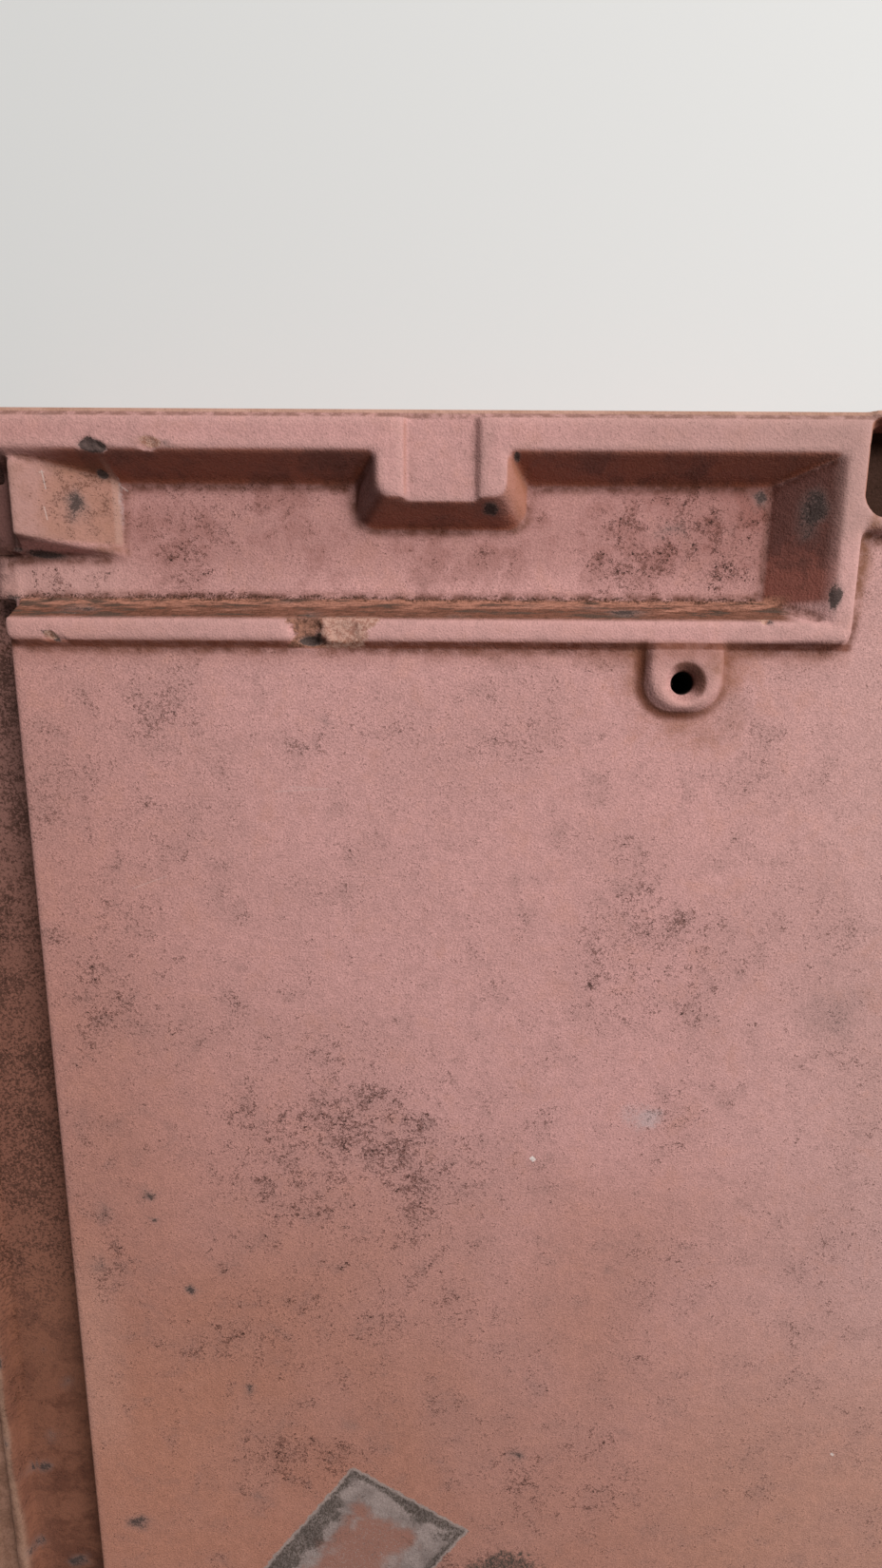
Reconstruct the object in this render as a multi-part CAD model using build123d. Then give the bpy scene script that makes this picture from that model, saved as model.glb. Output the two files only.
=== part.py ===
"""Flat interlocking clay roof tile, pressed and fired as one piece.

Millimetres. The origin is at the middle of the tile on the ground it lies on.
+X is right, +Y points to the head (up the roof) and +Z is the weather face.
The tile lies level on its two hanging lugs and on its foot lip.
"""
from build123d import *
import math
import os

# Overall size
tile_length = 460.0
face_width = 242.0
side_lock_width = 48.0
face_height = 27.0
plate_thick = 13.0

# Left side lock: two water channels that the flange of the next tile covers
channel_depth = 14.5
lock_floor_thick = 6.0
lock_rib_height = 4.0
lock_outer_rim = 4.0
lock_inner_rib = 3.2
lock_inner_rib_at = 13.2
lock_draft = 1.2
face_wall_draft = 4.0
lock_foot_setback = 14.0
lock_head_dam = 12.0
lock_step = 7.0

# Right flange: the cover of the next tile's side lock
flange_thick = 9.5
flange_edge_rib = 5.0
flange_rib_clear = 1.5
joint_gap = 1.5
skirt_width = 7.0
skirt_depth = 5.0

# Head rim and the trough behind the transverse rib
trough_depth = 5.0
rim_rise = 3.0
head_strip_width = 2.2
head_strip_drop = 1.2
rim_top_width = 6.8
rim_inner_slope = 4.5
trough_floor_width = 25.5
rib_inner_slope = 5.8
rib_rise = 2.2
rib_crest_width = 4.2
rib_outer_slope = 1.8
rib_end_inset = 0.7
side_rim_from_edge = 48.5
side_rim_outer_slope = 1.6
side_rim_crest_width = 4.1
side_rim_inner_slope = 12.8
frame_corner_radius = 4.0
crest_radius = 1.1
floor_radius = 1.5

# Centre stub on the head rim
stub_at = 2.5
stub_base_width = 39.4
stub_top_width = 28.4
stub_base_reach = 9.8
stub_top_reach = 5.0
stub_corner_radius = 4.0
recess_width = 16.9
recess_depth = 1.1

# Wedge stub and low platform at the left end of the trough
wedge_from_edge = 2.0
wedge_length = 23.1
wedge_left_slope = 2.7
wedge_rise = 7.3
wedge_toe = 0.8
wedge_reach = 16.2
wedge_front_slope = 3.2
platform_rise = 2.0
platform_reach = 15.6

# Nail boss
nail_hole_diameter = 5.0
countersink_diameter = 9.8
countersink_angle = 90.0
nail_from_face_edge = 155.7
nail_from_head = 58.2
boss_width = 19.2
boss_reach = 7.1
boss_draft = 1.8
boss_corner_radius = 7.4

# Head corner of the flange
bridge_from_head = 22.5
bridge_crest_width = 1.9
bridge_slope = 1.5
pocket_depth = 6.0
pocket_foot_slope = 3.2
pocket_corner_radius = 5.5
pocket_rim_gap = 0.3
pocket_side_wall = 4.0
pocket_lip = 2.0
pocket_lip_rise = 2.4
lip_notch = 0.8

# Underside
foot_lip_thick = 12.0
lip_tip_radius = 1.5
foot_top_radius = 4.0
head_lap = 80.0
weather_rib_width = 6.0
weather_rib_lift = 1.0
lug_width = 34.0
lug_thick = 14.0
lug_spacing = 120.0
lug_from_head = 28.0
lug_draft = 2.0
back_rib_width = 9.0
back_rib_depth = 3.0
back_rib_spacing = 96.0
face_edge_radius = 1.4

# Levels
under_z = face_height - plate_thick
channel_z = face_height - channel_depth
lock_under_z = channel_z - lock_floor_thick
lock_crest_z = channel_z + lock_rib_height
flange_under_z = face_height - flange_thick
trough_z = face_height - trough_depth
rim_z = face_height + rim_rise
rib_z = face_height + rib_rise

# Plan positions
left_x = -(side_lock_width + face_width) / 2
face_left_x = left_x + side_lock_width
right_x = face_left_x + face_width
head_y = tile_length / 2
foot_y = -tile_length / 2
pitch = face_width + joint_gap

rim_outer_y = head_y - head_strip_width
rim_inner_y = rim_outer_y - rim_top_width
trough_head_y = rim_inner_y - rim_inner_slope
trough_foot_y = trough_head_y - trough_floor_width
rib_inner_y = trough_foot_y - rib_inner_slope
rib_outer_y = rib_inner_y - rib_crest_width
rib_base_y = rib_outer_y - rib_outer_slope

frame_right_x = right_x - side_rim_from_edge
crest_right_x = frame_right_x - side_rim_outer_slope
crest_left_x = crest_right_x - side_rim_crest_width
trough_right_x = crest_left_x - side_rim_inner_slope
nail_x = face_left_x + nail_from_face_edge
nail_y = head_y - nail_from_head
body_right_x = left_x + pitch - joint_gap


def rounded_outline(points, radii, plane):
    """Face with the outline `points` on the plane, its corners rounded by index."""
    face = make_face(Polyline(*points, close=True))
    corners = {i: Vector(*points[i]) for i in radii}
    for i, radius in radii.items():
        vertex = face.vertices().sort_by_distance(corners[i])[0]
        face = fillet(vertex, radius)
    return plane * face


def prism_along_y(points, y0, y1, radii={}):
    """Solid with the XZ outline `points`, from y0 to y1."""
    outline = rounded_outline(points, radii, Plane.XZ)
    return Pos(0, y1, 0) * extrude(outline, amount=y1 - y0, dir=(0, -1, 0))


def prism_along_x(points, x0, x1, radii={}):
    """Solid with the YZ outline `points`, from x0 to x1."""
    outline = rounded_outline(points, radii, Plane.YZ)
    return Pos(x0, 0, 0) * extrude(outline, amount=x1 - x0, dir=(1, 0, 0))


def block(x0, x1, y0, y1, z0, z1):
    """Plain box between the given limits."""
    size = Box(x1 - x0, y1 - y0, z1 - z0)
    return Pos((x0 + x1) / 2, (y0 + y1) / 2, (z0 + z1) / 2) * size


def tapered(base, top, z0, z1, radius):
    """Rounded rectangle base = (x0, x1, y0, y1) at z0, drawn in to top at z1."""
    sections = []
    for (x0, x1, y0, y1), z in ((base, z0), (top, z1)):
        place = Pos((x0 + x1) / 2, (y0 + y1) / 2, z)
        sections.append(place * RectangleRounded(x1 - x0, y1 - y0, radius))
    return loft(sections)


# Cross section, the same from foot to head
rib_left_x = left_x + lock_inner_rib_at
rib_right_x = rib_left_x + lock_inner_rib
second_channel = (left_x + lock_outer_rim, rib_left_x)
cover_rib_x = (
    second_channel[0] + lock_draft + pitch,
    second_channel[1] - lock_draft + pitch,
)
flange_tip_z = channel_z + flange_rib_clear
section = [
    (left_x, lock_under_z),
    (left_x, lock_crest_z),
    (left_x + lock_outer_rim, lock_crest_z),
    (left_x + lock_outer_rim + lock_draft, channel_z),
    (rib_left_x - lock_draft, channel_z),
    (rib_left_x, lock_crest_z),
    (rib_right_x, lock_crest_z),
    (rib_right_x + lock_draft, channel_z),
    (face_left_x - face_wall_draft, channel_z),
    (face_left_x, face_height),
    (right_x, face_height),
    (right_x, flange_tip_z),
    (right_x - flange_edge_rib, flange_tip_z),
    (right_x - flange_edge_rib - lock_draft, flange_under_z),
    (cover_rib_x[1] + lock_draft, flange_under_z),
    (cover_rib_x[1], flange_tip_z),
    (cover_rib_x[0], flange_tip_z),
    (cover_rib_x[0] - lock_draft, flange_under_z),
    (body_right_x, flange_under_z),
    (body_right_x - lock_draft, under_z - skirt_depth),
    (body_right_x - skirt_width, under_z - skirt_depth),
    (body_right_x - skirt_width - skirt_depth, under_z),
    (face_left_x + lock_step + under_z - lock_under_z, under_z),
    (face_left_x + lock_step, lock_under_z),
]
section_radii = {
    1: 1.5, 2: 1.2, 3: 1.0, 4: 1.0, 5: 1.2, 6: 1.2, 7: 2.0, 8: 2.5,
    9: face_edge_radius, 10: face_edge_radius, 11: 1.2, 12: 1.2,
}
tile = prism_along_y(section, foot_y, head_y, section_radii)

# The rounded upper edge at the foot, and the head end of the plate
side_view = prism_along_x(
    [
        (foot_y, 0),
        (foot_y, face_height),
        (head_y, face_height),
        (head_y, 0),
    ],
    left_x - 1,
    right_x + 1,
    {1: foot_top_radius},
)
tile = tile & side_view

# The side lock stops short of the foot, and a dam closes its channels at the head
tile -= block(left_x - 1, face_left_x - face_wall_draft, foot_y - 1,
              foot_y + lock_foot_setback, 0, face_height)
tile += block(left_x, face_left_x, head_y - lock_head_dam, head_y,
              channel_z - 1, lock_crest_z)

# Floor of the head trough, open to the side lock
tile -= block(face_left_x - face_wall_draft, crest_left_x, rib_inner_y, rim_inner_y,
              trough_z, rim_z)

# Raised frame: transverse rib, head rim and right rim
transverse_rib = prism_along_x(
    [
        (rib_base_y, face_height),
        (rib_outer_y, rib_z),
        (rib_inner_y, rib_z),
        (trough_foot_y, trough_z),
        (trough_foot_y + 2 * floor_radius, trough_z),
        (trough_foot_y + 2 * floor_radius, under_z + 1),
        (rib_base_y, under_z + 1),
    ],
    face_left_x + rib_end_inset,
    frame_right_x,
    {1: crest_radius, 2: crest_radius, 3: floor_radius},
)
head_rim = prism_along_x(
    [
        (trough_head_y - 2 * floor_radius, trough_z),
        (trough_head_y, trough_z),
        (rim_inner_y, rim_z),
        (rim_outer_y, rim_z),
        (rim_outer_y + 0.4, rim_z - head_strip_drop),
        (head_y, rim_z - head_strip_drop - 0.4),
        (head_y, under_z + 1),
        (trough_head_y - 2 * floor_radius, under_z + 1),
    ],
    face_left_x,
    frame_right_x,
    {1: floor_radius, 2: crest_radius},
)
right_rim = prism_along_y(
    [
        (trough_right_x - 2 * floor_radius, trough_z),
        (trough_right_x, trough_z),
        (crest_left_x, rim_z),
        (crest_right_x, rim_z),
        (frame_right_x, face_height),
        (frame_right_x, under_z + 1),
        (trough_right_x - 2 * floor_radius, under_z + 1),
    ],
    rib_base_y,
    head_y,
    {1: floor_radius, 2: crest_radius, 3: crest_radius},
)
frame_base = (face_left_x, frame_right_x, rib_base_y, head_y + frame_corner_radius * 2)
frame_top = (face_left_x, crest_right_x, rib_outer_y, head_y + frame_corner_radius * 2)
frame_form = tapered(frame_base, frame_top, face_height, rim_z, frame_corner_radius)
frame_form += tapered(frame_base, frame_base, under_z, face_height, frame_corner_radius)
strip = prism_along_x(
    [
        (rib_base_y - 1, 0),
        (rib_base_y - 1, rim_z + 1),
        (rim_outer_y, rim_z + 1),
        (rim_outer_y, rim_z),
        (rim_outer_y + 0.4, rim_z - head_strip_drop),
        (head_y, rim_z - head_strip_drop - 0.4),
        (head_y, 0),
    ],
    face_left_x - 1,
    frame_right_x + 1,
)
raised = (transverse_rib + head_rim + right_rim) & frame_form & strip
tile += raised

# Centre stub, standing in the trough against the head rim
stub_x = stub_at
stub_head_y = rim_inner_y + rim_top_width / 2
stub = tapered(
    (stub_x - stub_base_width / 2, stub_x + stub_base_width / 2,
     trough_head_y - stub_base_reach, stub_head_y),
    (stub_x - stub_top_width / 2, stub_x + stub_top_width / 2,
     trough_head_y - stub_top_reach, stub_head_y),
    trough_z - 0.01,
    rim_z,
    stub_corner_radius,
)
stub_front = stub.faces().sort_by(Axis.Z)[-1].edges()
stub = fillet(stub_front, crest_radius)
tile += stub
recess = block(stub_x - recess_width / 2, stub_x + recess_width / 2,
               trough_head_y - stub_base_reach, head_y + 1,
               rim_z - recess_depth, rim_z + 1)
tile -= recess

# Wedge stub at the left end, its top falling to the trough floor
wedge_left_x = face_left_x + wedge_from_edge
wedge_right_x = wedge_left_x + wedge_length
wedge_back_y = trough_head_y + rim_inner_slope / 2
wedge_front_y = trough_head_y - wedge_reach
wedge_side = prism_along_y(
    [
        (wedge_left_x, trough_z - 1),
        (wedge_left_x, trough_z),
        (wedge_left_x + wedge_left_slope, trough_z + wedge_rise),
        (wedge_right_x, trough_z + wedge_toe),
        (wedge_right_x, trough_z - 1),
    ],
    wedge_front_y,
    wedge_back_y,
)
wedge_front = prism_along_x(
    [
        (wedge_front_y, trough_z - 1),
        (wedge_front_y, trough_z),
        (wedge_front_y + wedge_front_slope, trough_z + wedge_rise),
        (wedge_back_y, trough_z + wedge_rise),
        (wedge_back_y, trough_z - 1),
    ],
    wedge_left_x,
    wedge_right_x,
)
tile += wedge_side & wedge_front
tile += block(face_left_x, wedge_left_x + wedge_left_slope,
              trough_head_y - platform_reach, trough_head_y + 1,
              trough_z - 1, trough_z + platform_rise)

# Nail boss on the foot side of the transverse rib
boss_left_x = nail_x - boss_width / 2
boss_right_x = nail_x + boss_width / 2
boss = tapered(
    (boss_left_x, boss_right_x, nail_y - boss_reach, rib_inner_y),
    (boss_left_x + boss_draft, boss_right_x - boss_draft,
     nail_y - boss_reach + boss_draft, rib_inner_y - 0.5),
    face_height - 0.01,
    rib_z,
    boss_corner_radius,
)
tile += boss

# Head corner of the flange: a cross bridge with a deep pocket behind it
bridge_y = head_y - bridge_from_head
tile += prism_along_x(
    [
        (bridge_y - bridge_crest_width - bridge_slope, face_height),
        (bridge_y - bridge_crest_width, rim_z),
        (bridge_y, rim_z),
        (bridge_y, face_height - 1),
        (bridge_y - bridge_crest_width - bridge_slope, face_height - 1),
    ],
    crest_right_x,
    right_x,
    {1: bridge_crest_width / 3},
)
tile += block(crest_right_x, right_x, bridge_y - 0.01, bridge_y + pocket_foot_slope + 1,
              face_height - 1, rim_z)
tile += block(crest_right_x + lip_notch, right_x, head_y - pocket_lip, head_y,
              face_height - 1, face_height + pocket_lip_rise)
tile += block(right_x - pocket_side_wall, right_x, bridge_y, head_y,
              face_height - 1, face_height + pocket_lip_rise)
pocket_left_x = crest_right_x + pocket_rim_gap
pocket = tapered(
    (pocket_left_x, right_x - pocket_side_wall,
     bridge_y + pocket_foot_slope, head_y - pocket_lip),
    (pocket_left_x, right_x - pocket_side_wall,
     bridge_y, head_y - pocket_lip),
    face_height - pocket_depth,
    rim_z + 0.01,
    pocket_corner_radius,
)
tile -= pocket

# Foot lip and the weather rib that hangs in the trough of the tile below
tile += prism_along_x(
    [
        (foot_y, 0),
        (foot_y, face_height - foot_top_radius - 1),
        (foot_y + foot_lip_thick + 3, face_height - foot_top_radius - 1),
        (foot_y + foot_lip_thick, 0),
    ],
    face_left_x,
    right_x,
    {0: lip_tip_radius, 3: lip_tip_radius},
)
wedge_gap_y = (trough_foot_y + trough_head_y - wedge_reach) / 2
weather_rib_y = foot_y + head_lap - (head_y - wedge_gap_y)
tile += prism_along_x(
    [
        (weather_rib_y - weather_rib_width / 2, weather_rib_lift),
        (weather_rib_y - weather_rib_width / 2 - 2, under_z + 1),
        (weather_rib_y + weather_rib_width / 2 + 2, under_z + 1),
        (weather_rib_y + weather_rib_width / 2, weather_rib_lift),
    ],
    face_left_x + lock_step,
    body_right_x - skirt_width,
    {0: lip_tip_radius, 3: lip_tip_radius},
)

# Hanging lugs for the roof batten
for side in (-1, 1):
    lug_x = side * lug_spacing / 2
    lug_y = head_y - lug_from_head
    lug = tapered(
        (lug_x - lug_width / 2, lug_x + lug_width / 2,
         lug_y - lug_thick / 2, lug_y + lug_thick / 2),
        (lug_x - lug_width / 2 - lug_draft, lug_x + lug_width / 2 + lug_draft,
         lug_y - lug_thick / 2 - lug_draft, lug_y + lug_thick / 2 + lug_draft),
        0,
        under_z + 1,
        3.0,
    )
    tile += lug

# Two shallow ribs along the back
for side in (-1, 1):
    rib_x = side * back_rib_spacing / 2
    tile += prism_along_y(
        [
            (rib_x - back_rib_width / 2, under_z - back_rib_depth),
            (rib_x - back_rib_width / 2 - back_rib_depth, under_z),
            (rib_x - back_rib_width / 2 - back_rib_depth, under_z + 1),
            (rib_x + back_rib_width / 2 + back_rib_depth, under_z + 1),
            (rib_x + back_rib_width / 2 + back_rib_depth, under_z),
            (rib_x + back_rib_width / 2, under_z - back_rib_depth),
        ],
        weather_rib_y,
        head_y - lug_from_head,
    )

# Nail hole with its countersink, through the boss and the plate
countersink_reach = (countersink_diameter - nail_hole_diameter) / 2
countersink_depth = countersink_reach / math.tan(math.radians(countersink_angle / 2))
tile -= Pos(nail_x, nail_y, face_height / 2) * Cylinder(
    nail_hole_diameter / 2, face_height + 20
)
tile -= Pos(nail_x, nail_y, rib_z - countersink_depth / 2 + 0.01) * Cone(
    nail_hole_diameter / 2, countersink_diameter / 2, countersink_depth
)

os.makedirs("parts", exist_ok=True)
export_step(tile, "parts/clay_tile.step")
print("clay_tile", len(tile.solids()), "solid,", round(tile.volume / 1000, 1), "cm3")
box = tile.bounding_box()
print("size", box.min, box.max)
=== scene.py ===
import math

import bmesh
import bpy
import numpy as np
from mathutils import Matrix, Vector, noise


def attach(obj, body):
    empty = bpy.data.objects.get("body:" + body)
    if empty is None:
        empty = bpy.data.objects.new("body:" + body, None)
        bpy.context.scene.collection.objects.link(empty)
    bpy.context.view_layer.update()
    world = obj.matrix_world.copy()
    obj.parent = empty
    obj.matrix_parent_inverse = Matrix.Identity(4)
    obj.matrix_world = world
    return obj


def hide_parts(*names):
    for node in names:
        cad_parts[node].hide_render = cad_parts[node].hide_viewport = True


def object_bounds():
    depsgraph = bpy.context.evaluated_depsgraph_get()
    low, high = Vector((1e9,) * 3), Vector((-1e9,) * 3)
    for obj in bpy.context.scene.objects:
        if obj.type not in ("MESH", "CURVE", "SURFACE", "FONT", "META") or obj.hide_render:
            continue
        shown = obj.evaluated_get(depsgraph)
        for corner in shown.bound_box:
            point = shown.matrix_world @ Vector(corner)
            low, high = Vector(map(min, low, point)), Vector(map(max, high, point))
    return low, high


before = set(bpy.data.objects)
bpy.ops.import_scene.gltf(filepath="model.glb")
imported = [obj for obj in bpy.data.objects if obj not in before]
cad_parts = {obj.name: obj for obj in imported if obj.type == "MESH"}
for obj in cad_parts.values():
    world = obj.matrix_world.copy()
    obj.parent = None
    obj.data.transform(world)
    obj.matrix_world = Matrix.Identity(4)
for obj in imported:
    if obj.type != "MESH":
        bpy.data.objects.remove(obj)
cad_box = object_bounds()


# Camera: held by hand about 140 mm above the head of the tile, looking almost
# straight down through a wide lens.
mm = 0.001
camera_place = (2.757 * mm, 168.585 * mm, 165.923 * mm)
camera_tilt = math.radians(8.535)
camera_roll = math.radians(0.346)
film_height = 36.0
lens_length = 13.505

lens = bpy.data.cameras.new("camera")
lens.sensor_fit = "VERTICAL"
lens.sensor_height = film_height
lens.lens = lens_length
lens.clip_start = 5.0 * mm
camera = bpy.data.objects.new("camera", lens)
bpy.context.scene.collection.objects.link(camera)
camera_view = (
    Matrix.Translation(camera_place)
    @ Matrix.Rotation(-camera_tilt, 4, "X")
    @ Matrix.Rotation(camera_roll, 4, "Z")
)
camera.matrix_world = camera_view
bpy.context.scene.camera = camera


# Clay tile: one piece of red clay, pressed between two moulds and fired, so
# that its edges are soft and its corners run into each other. It has lain on
# a roof for years: lichen, soot, soil in the corners, and a few knocks.
left_x = round(cad_box[0][0] / mm, 3)
right_x, head_y, rim_z = (round(reach / mm, 3) for reach in cad_box[1])

# Levels of the tile, in mm above the ground
face_z = rim_z - 3.0
rib_z = face_z + 2.2
trough_z = face_z - 5.0
channel_z = face_z - 14.5

# Lines along the tile: side lock, face, ledge, wedge stub, trough and right rim
lock_rib_x = left_x + 16.4
face_left_x = left_x + 48.0
ledge_left_x = face_left_x - 5.4
wedge_left_x = face_left_x + 2.0
wedge_right_x = wedge_left_x + 23.1
trough_right_x = right_x - 67.0
crest_left_x = right_x - 54.2
crest_right_x = right_x - 50.1
frame_right_x = right_x - 48.5

# Lines across the tile: trough between head rim and rib, and the rib itself
trough_head_y = head_y - 13.5
trough_foot_y = head_y - 39.0
rib_inner_y = head_y - 44.8
rib_outer_y = head_y - 49.0
rib_base_y = head_y - 50.8

press_grain = 0.7 * mm
press_passes = 4
evening_passes = 16
most_triangles = 190000
faintest_mark = 0.02

# Knocks in the clay: x, y, half length, half width, floor height (mm)
knocks = (
    (-19.6, 182.7, 6.2, 4.0, 28.5),
    (-28.0, 182.9, 4.4, 4.6, 27.6),
    (-26.8, 180.6, 3.6, 1.6, 26.6),
    (-86.4, 181.3, 2.2, 1.3, 28.1),
    (-84.6, 180.8, 2.6, 1.1, 28.2),
    (76.0, 185.4, 1.4, 1.0, 28.4),
    (78.6, 185.6, 1.0, 0.7, 28.7),
    (-74.1, 221.9, 3.0, 1.6, 29.2),
    (-71.2, 221.2, 2.4, 1.1, 29.0),
    (-61.0, 221.6, 3.8, 2.2, 29.4),
    (-99.5, 229.5, 6.0, 0.8, 28.0),
    (58.0, 230.2, 4.0, 0.9, 28.0),
    (86.0, 230.2, 5.0, 0.8, 27.9),
)

# The trough floor and the platform run on over the wall of the side lock:
# x from, x to, y from, y to, height (mm)
ledges = (
    (ledge_left_x, -96.0, 190.6, 204.4, trough_z),
    (ledge_left_x, -94.0, 200.8, 215.8, trough_z + 2.0),
)

# The crest of the rib rises gently into the right rim (mm)
rise_height = 0.8
rise_left_x = 72.0
rise_right_x = 94.0
rise_foot_y = 180.7
rise_head_y = 185.5

# Marks, picked out in the photograph. Each is the pixel x and y of its middle,
# its half width and half height in pixels, its turn in degrees, its strength, and the
# level of the clay there in mm
lichen_spots = (
    (157, 1257, 9, 8, 0, 0.9, 27), (147, 1260, 4, 4, 0, 0.5, 27), (110, 1276, 9, 9, 0, 0.7, 27),
    (160, 1283, 12, 6, 20, 0.65, 27), (104, 1256, 4, 4, 0, 0.7, 27), (103, 1330, 13, 13, 0, 0.55, 27),
    (123, 1308, 7, 9, 0, 0.4, 27), (133, 1336, 9, 7, 0, 0.35, 27), (201, 1358, 8, 8, 0, 0.95, 27),
    (225, 1428, 6, 7, 0, 0.55, 27), (262, 1462, 7, 6, 0, 1, 27), (98, 1468, 9, 6, 0, 0.4, 27),
    (147, 1602, 16, 9, -12, 0.85, 27), (140, 1620, 8, 5, 0, 0.35, 27), (272, 1573, 9, 7, 0, 0.6, 27),
    (292, 1583, 7, 6, 0, 0.5, 27), (543, 1531, 9, 9, 0, 0.8, 27), (370, 1500, 10, 9, 0, 0.5, 27),
    (405, 1523, 7, 6, 0, 0.6, 27), (360, 1293, 5, 5, 0, 0.85, 27), (365, 1503, 6, 6, 0, 0.6, 27),
    (346, 1202, 6, 5, 0, 0.6, 27), (277, 1178, 6, 6, 0, 0.75, 27), (306, 1209, 4, 4, 0, 0.7, 27),
    (311, 1219, 3, 4, 0, 0.7, 27), (415, 1236, 7, 4, 10, 0.9, 27), (383, 1294, 6, 4, 10, 0.85, 27),
    (388, 1213, 3, 3, 0, 0.6, 27), (466, 1328, 5, 4, 0, 0.8, 27), (510, 1410, 4, 4, 0, 0.9, 27),
    (336, 1250, 9, 6, 30, 0.5, 27), (471, 1503, 5, 5, 0, 0.35, 27), (43, 1542, 17, 5, -8, 1.1, 12.5),
    (55, 1512, 9, 7, 0, 0.75, 12.5), (70, 1456, 6, 8, 0, 0.8, 12.5), (42, 1620, 10, 8, 0, 0.65, 12.5),
    (83, 1642, 15, 8, -20, 0.85, 12.5), (3, 1427, 5, 9, 30, 1, 14), (8, 1515, 3, 5, 30, 1, 16),
    (45, 1421, 4, 5, 0, 0.4, 12.5), (103, 1255, 4, 4, 0, 0.6, 27), (440, 1240, 3, 3, 0, 0.5, 27),
    (92, 465, 7, 6, 30, 1.2, 30), (101, 472, 15, 6, 5, 1.35, 28), (106, 498, 6, 4, 0, 1.1, 25),
    (178, 470, 12, 3, 25, 0.8, 29), (73, 530, 9, 13, 10, 1.5, 27), (47, 436, 5, 4, 0, 0.8, 30),
    (45, 447, 9, 3, 60, 0.4, 30), (515, 538, 10, 6, 0, 0.85, 26), (495, 535, 6, 3, 0, 0.45, 26),
    (461, 493, 4, 4, 0, 0.75, 29), (545, 478, 5, 4, 30, 0.8, 30), (870, 631, 8, 12, 20, 1.15, 27),
    (697, 562, 9, 7, 0, 0.75, 22), (712, 556, 11, 7, -15, 0.7, 22), (725, 571, 6, 4, 0, 0.5, 22),
    (775, 553, 8, 6, 0, 0.5, 22), (745, 600, 5, 4, 0, 0.4, 22), (785, 615, 6, 4, 0, 0.5, 22),
    (8, 640, 12, 6, 30, 1.1, 23), (15, 630, 8, 4, 0, 0.6, 22), (50, 584, 22, 4, 3, 0.85, 22.5),
    (25, 580, 6, 3, 0, 0.7, 22.5), (90, 640, 20, 4, 8, 0.8, 25), (70, 643, 14, 4, 0, 0.6, 25),
    (660, 646, 24, 4, 0, 1.15, 26), (620, 640, 14, 4, 0, 0.5, 25), (480, 650, 14, 3, 0, 0.5, 26),
    (330, 647, 10, 4, 0, 0.6, 26), (255, 642, 12, 3, 0, 0.5, 26), (300, 633, 9, 3, 0, 0.5, 24),
    (560, 638, 12, 3, 0, 0.4, 24), (328, 675, 13, 5, 0, 1.2, 27), (336, 668, 5, 4, 0, 0.7, 28),
    (52, 667, 8, 4, 20, 0.9, 29), (60, 672, 7, 3, 30, 0.8, 28), (28, 662, 8, 4, 0, 0.35, 29),
    (808, 655, 3, 4, 0, 0.7, 28), (718, 432, 4, 2, 0, 0.6, 30), (870, 425, 20, 3, -5, 0.4, 29),
    (690, 956, 3, 2, 0, 1.4, 27), (637, 1338, 4, 4, 0, 1.3, 27), (813, 940, 2, 2, 0, 1.2, 27),
    (586, 1170, 2, 2, 0, 1.3, 27), (757, 909, 5, 6, 0, 0.6, 27), (875, 1013, 14, 4, 38, 0.62, 27),
    (870, 1065, 38, 38, 0, 0.36, 27), (895, 1050, 34, 18, -10, 0.34, 27),
    (884, 1075, 18, 34, -20, 0.42, 27), (658, 967, 6, 5, 0, 0.5, 27), (635, 1090, 7, 6, 0, 0.45, 27),
    (729, 1126, 6, 6, 0, 0.6, 27), (668, 1198, 15, 4, 15, 0.45, 27), (640, 1050, 8, 4, 0, 0.4, 27),
    (700, 1055, 12, 10, 0, 0.35, 27), (362, 937, 12, 9, 0, 0.38, 27), (345, 760, 9, 12, 20, 0.45, 27),
    (372, 775, 6, 8, 0, 0.45, 27), (362, 795, 9, 6, 0, 0.4, 27), (567, 770, 9, 8, 0, 0.35, 27),
    (590, 765, 6, 6, 0, 0.35, 27), (855, 535, 11, 19, -20, 1.05, 26), (845, 562, 9, 14, -20, 0.6, 25),
    (836, 548, 6, 8, 0, 0.5, 24), (799, 525, 9, 9, 0, 0.8, 22),
)
soil_stains = (
    (752, 700, 14, 14, 0, 0.85, 27), (765, 715, 12, 22, -15, 0.7, 27), (772, 760, 9, 22, 0, 0.65, 27),
    (745, 775, 22, 8, 0, 0.55, 27), (715, 765, 20, 10, 0, 0.5, 27), (672, 690, 12, 12, 0, 0.75, 27),
    (668, 715, 12, 18, 0, 0.6, 27), (640, 700, 16, 10, 0, 0.4, 27), (790, 690, 20, 7, 0, 0.5, 27),
    (911, 560, 8, 16, 0, 1.0, 27), (908, 592, 8, 30, 0, 0.9, 27), (902, 632, 7, 22, 0, 0.8, 27),
    (916, 545, 8, 7, 0, 0.9, 27), (85, 515, 26, 26, 0, 0.55, 24.5), (110, 545, 16, 24, 0, 0.6, 23.5),
    (70, 500, 16, 16, 0, 0.5, 26), (60, 560, 20, 8, 10, 0.5, 26), (0, 580, 30, 5, 0, 0.9, 23),
    (120, 580, 18, 6, 0, 0.8, 22.5), (548, 515, 8, 40, 0, 0.6, 26), (545, 545, 14, 10, 0, 0.5, 24),
    (868, 430, 18, 4, 0, 0.7, 29.5), (700, 425, 60, 2, 0, 0.4, 29), (890, 655, 14, 6, 0, 0.3, 29),
    (160, 467, 20, 6, 10, 0.6, 30), (115, 500, 16, 10, 0, 0.4, 25), (325, 676, 16, 4, 5, 0.9, 27),
)
broken_places = (
    (161, 466, 13, 6, 10, 0.9, 29), (53, 668, 9, 5, 10, 0.8, 29), (805, 653, 5, 5, 0, 0.8, 29),
)
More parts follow.
